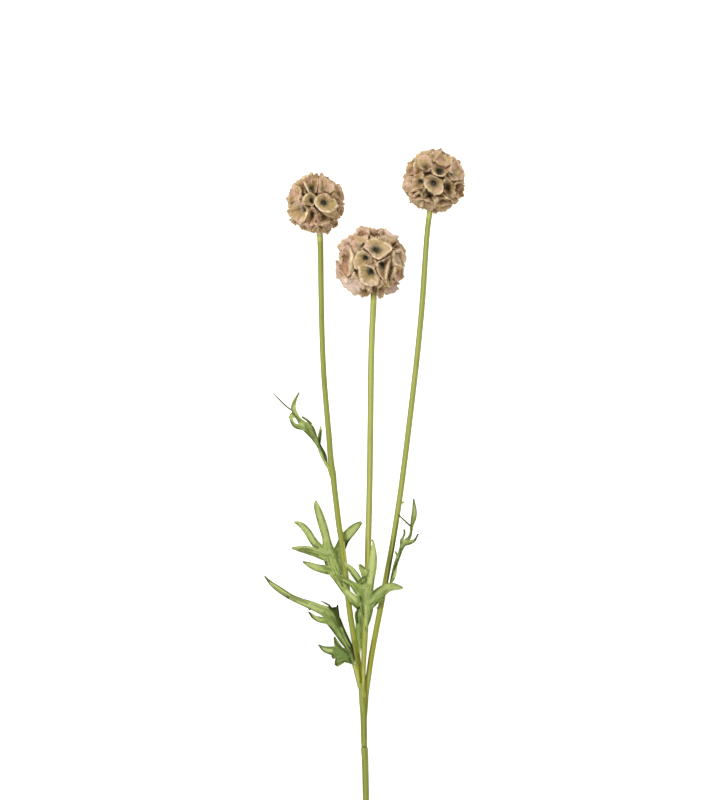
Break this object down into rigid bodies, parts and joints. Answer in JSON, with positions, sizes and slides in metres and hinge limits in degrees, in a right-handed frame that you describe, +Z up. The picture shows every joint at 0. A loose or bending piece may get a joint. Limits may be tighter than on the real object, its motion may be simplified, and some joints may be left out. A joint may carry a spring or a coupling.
{
  "type": "starflower seed-head spray",
  "caption": "Cut starflower spray lying on its back: round seed heads of papery cups on one branched green stem with cut-edged leaves.",
  "frame": {"origin": "middle of the lying spray's outline seen from above, on the surface that it lies on", "axes": "+Y along the stem towards the heads, +Z up from the surface, +X to the right when the heads point up"},
  "size_m": [0.1436, 0.5139, 0.0489],
  "materials": {
    "stem": "smooth green plant stem with fine grooves",
    "seed_head": "dry translucent papery membrane, khaki with cream rims",
    "leaf": "matt green leaf with dark tips"
  },
  "bodies": {
    "root": {"stem": "stem", "head_left": "seed_head", "head_middle": "seed_head", "head_right": "seed_head", "leaf_left_upper": "leaf", "leaf_left_large": "leaf", "leaf_middle": "leaf", "leaf_lower_left": "leaf", "leaf_lowest": "leaf", "leaf_right": "leaf"}
  },
  "joints": []
}
